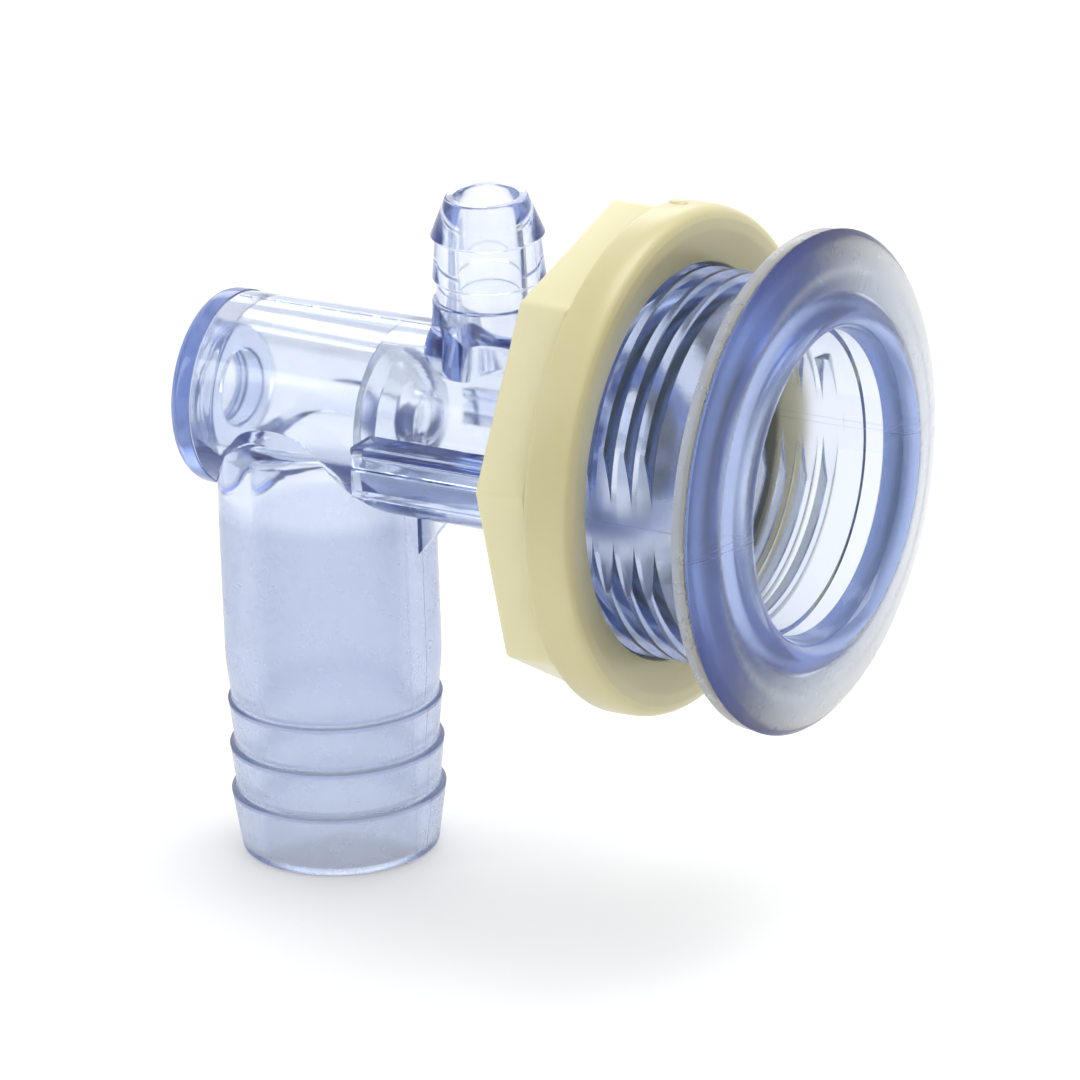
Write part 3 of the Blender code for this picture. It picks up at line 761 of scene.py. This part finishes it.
def body_lines_and_ridge_shade(finish):
    """The mould parts in the plane of both barbs, and a painted blue shade lines the edge of each hose
    ridge.
    """
    line_and_shade = abs(finish.y).below(0.06, 0.04)
    # Painted shade: each hose ridge's edge gets a band of the deep blue line colour, standing in for
    # the darker blue that light gathers there.
    for i in range(BARBS):
        line_and_shade = line_and_shade + abs(finish.z - (first_barb - i * BARB_PITCH - 0.15)).below(0.22, 0.12)
    return line_and_shade


print("the tints and the parting lines are written as functions of a finish")

# %% [markdown]
# Each clear piece has its own haze and its own depth of colour. The flange takes the most colour, as
# its rim is the bluest part of the fitting, and the small nozzle the least.

# %% One clear finish for each piece
clear_body = clear_plastic("clear plastic, jet body", body_tint, body_lines_and_ridge_shade,
                           lambda f: 0.07 + f.z.below(-10.0, 0.8) * 0.17, 0.75)
clear_flange = clear_plastic("clear plastic, flange", faint_tint, mid_plane_lines, lambda f: 0.15, 2.6)
clear_barrel = clear_plastic("clear plastic, barrel", faint_tint, mid_plane_lines,
                             lambda f: 0.12 + abs(f.y).above(17.2, 0.1) * 0.2, 1.3)
clear_cap = clear_plastic("clear plastic, end cap", faint_tint, no_lines, lambda f: 0.12, 1.5)
clear_nozzle = clear_plastic("clear plastic, nozzle", faint_tint, no_lines, lambda f: 0.2, 0.3, 1.22)
print("five clear finishes")

# %% [markdown]
# ## Ivory plastic and sheet gasket
# The nut and its ring are a soft ivory that light enters a little way, with clouds and darker specks
# from the filler. The gasket is a pale sheet that lets light through.

# %% The ivory plastic
def ivory_plastic(name, deep, pale):
    """Opaque at a glance, with the colour clouded between a deep and a pale one."""
    finish = Finish(name)
    cloud = finish.noise(0.09, 5, 0.55)
    speck = finish.noise(2.2, 2).above(0.74, 0.02)
    grain = finish.noise(5.0, 3)
    color = finish.blend(cloud, deep, pale)
    color = finish.blend(speck * 0.25, color, (0.55, 0.48, 0.30, 1))
    shader = finish.node("ShaderNodeBsdfPrincipled", {}, {
        "Base Color": color, "Roughness": 0.34 + cloud * 0.12 + grain * 0.05, "IOR": 1.52,
        "Coat Weight": 0.5, "Coat Roughness": 0.28,
        "Subsurface Weight": 0.35, "Subsurface Radius": (1.0, 0.85, 0.5), "Subsurface Scale": 1.5 * MM,
        "Normal": finish.bump(cloud * 0.5 + grain * 0.06, 0.2, 0.15),
    })
    finish.node("ShaderNodeOutputMaterial", {}, {"Surface": shader}, output=None)
    return finish.material


nut_ivory = ivory_plastic("ivory plastic, nut", (0.63, 0.575, 0.31, 1), (0.72, 0.68, 0.43, 1))
# The ring is the nut's ivory plastic painted darker: painted shade for the ring's shaded cylinder.
ring_ivory_painted_shade = ivory_plastic("ivory plastic, ring, painted shade", (0.50, 0.445, 0.21, 1), (0.61, 0.56, 0.31, 1))
print("the nut's ivory is a little paler than the ring's")

# %% The gasket sheet
PRESSED_DEPTH = 0.45                   # mm of the sheet, under the flange, that have yellowed


def gasket_sheet():
    """Pale sheet that lets light through, yellower where the flange presses on it."""
    finish = Finish("pale gasket sheet")
    cloud = finish.noise(0.5, 4)
    pressed = finish.x.above(gasket_high.x - PRESSED_DEPTH, 0.08)
    color = finish.blend(cloud, (0.86, 0.87, 0.88, 1), (0.93, 0.94, 0.95, 1))
    color = finish.blend(pressed * 0.8, color, (0.74, 0.69, 0.52, 1))
    shader = finish.node("ShaderNodeBsdfPrincipled", {}, {
        "Base Color": color, "Roughness": 0.24 + cloud * 0.08, "IOR": 1.45, "Transmission Weight": 0.88,
        "Normal": finish.bump(cloud, 0.05, 0.02),
    })
    finish.node("ShaderNodeOutputMaterial", {}, {"Surface": shader}, output=None)
    print("the gasket yellows in the last", PRESSED_DEPTH, "mm, where the flange presses on it")
    return finish.material


# %% [markdown]
# ## Dressing the pieces
# Each piece gets its finish, rides on its CAD body, and stands for the node that it was made from.

# %% Finish, body and node of each piece
def dress(piece, material, body, node):
    """Gives a piece its finish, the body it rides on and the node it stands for."""
    piece.data.materials.clear()
    piece.data.materials.append(material)
    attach(piece, body)
    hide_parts(node)
    print(piece.name, "rides on", body, "for", node)


dress(flange, clear_flange, "jet", "flange")
dress(barrel, clear_barrel, "jet", "threaded_barrel")
dress(jet_body, clear_body, "jet", "jet_body")
dress(end_cap, clear_cap, "jet", "end_cap")
dress(nozzle, clear_nozzle, "jet", "venturi_nozzle")
dress(gasket, gasket_sheet(), "jet", "flange_gasket")
dress(slip_ring, ring_ivory_painted_shade, "slip_ring", "slip_ring")
dress(lock_nut, nut_ivory, "lock_nut", "lock_nut")

# %% [markdown]
# ## Floor, light and camera
# Clear plastic shows what is around it, so the room is most of its look: a white floor, white all
# round, and a dimmer, bluer side to the left in front, lowest down, which draws the edges.

# %% The floor
let_go()
bpy.ops.mesh.primitive_plane_add(size=6, location=(0, 0, (body_low.z - 0.1) * MM))
floor = bpy.context.object
floor.name = floor.data.name = "floor"
paper = Finish("white paper")
paper_shader = paper.node("ShaderNodeBsdfPrincipled", {}, {
    "Base Color": paper.blend(paper.noise(0.02, 2), (0.70, 0.70, 0.70, 1), (0.73, 0.73, 0.73, 1)),
    "Roughness": 0.9, "Emission Color": (1, 1, 1, 1), "Emission Strength": 0.27})
paper.node("ShaderNodeOutputMaterial", {}, {"Surface": paper_shader}, output=None)
floor.data.materials.append(paper.material)
print("the floor lies", round(-floor.location.z / MM, 1), "mm below the axis")

# %% The white room
world = bpy.data.worlds.new("white room")
world.use_nodes = True
bpy.context.scene.world = world
room = Graph(world.node_tree)
direction = room.node("ShaderNodeTexCoord", output="Generated")
to_the_left = room.node("ShaderNodeVectorMath", {"operation": "DOT_PRODUCT"},
                        {0: direction, 1: (-0.42, -0.88, -0.22)}, output="Value")
height = room.node("ShaderNodeSeparateXYZ", {}, {0: direction}, output="Z")
dim_side = to_the_left.above(0.2, 0.6)
low = height.below(0.35, 0.4)
dim = dim_side * (0.45 + low * 0.3)
white = room.node("ShaderNodeBackground", {}, {
    "Color": room.blend(dim, (1, 1, 1, 1), (0.45, 0.50, 0.62, 1)), "Strength": 1.0})
room.node("ShaderNodeOutputWorld", {}, {"Surface": white}, output=None)
print("the room is", len(world.node_tree.nodes), "nodes")

# %% Soft lights
MIDDLE = (-0.028, 0, -0.01)            # the middle of the fitting, in metres


def soft_light(name, place, power, width, height):
    """A rectangular lamp that looks at the middle of the fitting."""
    let_go()
    bpy.ops.object.light_add(type="AREA", location=place)
    light = bpy.context.object
    light.name = light.data.name = name
    light.data.shape = "RECTANGLE"
    light.data.energy, light.data.size, light.data.size_y = power, width, height
    light.rotation_euler = (Vector(MIDDLE) - Vector(place)).to_track_quat("-Z", "Y").to_euler()
    print(name, "light of", power, "W")


soft_light("overhead", (0.2, 0.3, 1.2), 8.0, 0.9, 0.9)
soft_light("behind", (-0.65, 1.05, 0.50), 1.5, 0.6, 0.4)
soft_light("strip on the left", (-0.62, -0.62, 0.25), 0.8, 0.12, 0.7)

# %% [markdown]
# The camera stands far away with a long lens, to the left in front and a little above. Light crosses
# many clear walls and is turned back inside them, so it may bounce often before it is given up.

# %% The camera
BOUNCES = 28
camera_data = bpy.data.cameras.new("camera")
camera = bpy.data.objects.new("camera", camera_data)
bpy.context.scene.collection.objects.link(camera)
bpy.context.scene.camera = camera
TARGET = Vector((-28.23, 0.045, -10.54)) * MM
DISTANCE = 1.2954
camera_data.lens, camera_data.sensor_width = 453.9, 36.0
back = Vector((0.47858, -0.80406, 0.35278))
right = Vector((0.86543, 0.49981, -0.03488))
up = Vector((-0.14828, 0.32200, 0.93506))
turn = Matrix((right, up, back)).transposed()
camera.matrix_world = Matrix.Translation(TARGET + back * DISTANCE) @ turn.to_4x4()
bpy.context.scene.view_settings.view_transform = "Standard"
cycles = bpy.context.scene.cycles
cycles.max_bounces = cycles.transmission_bounces = cycles.glossy_bounces = BOUNCES
print("camera", DISTANCE, "m away, up to", BOUNCES, "bounces")
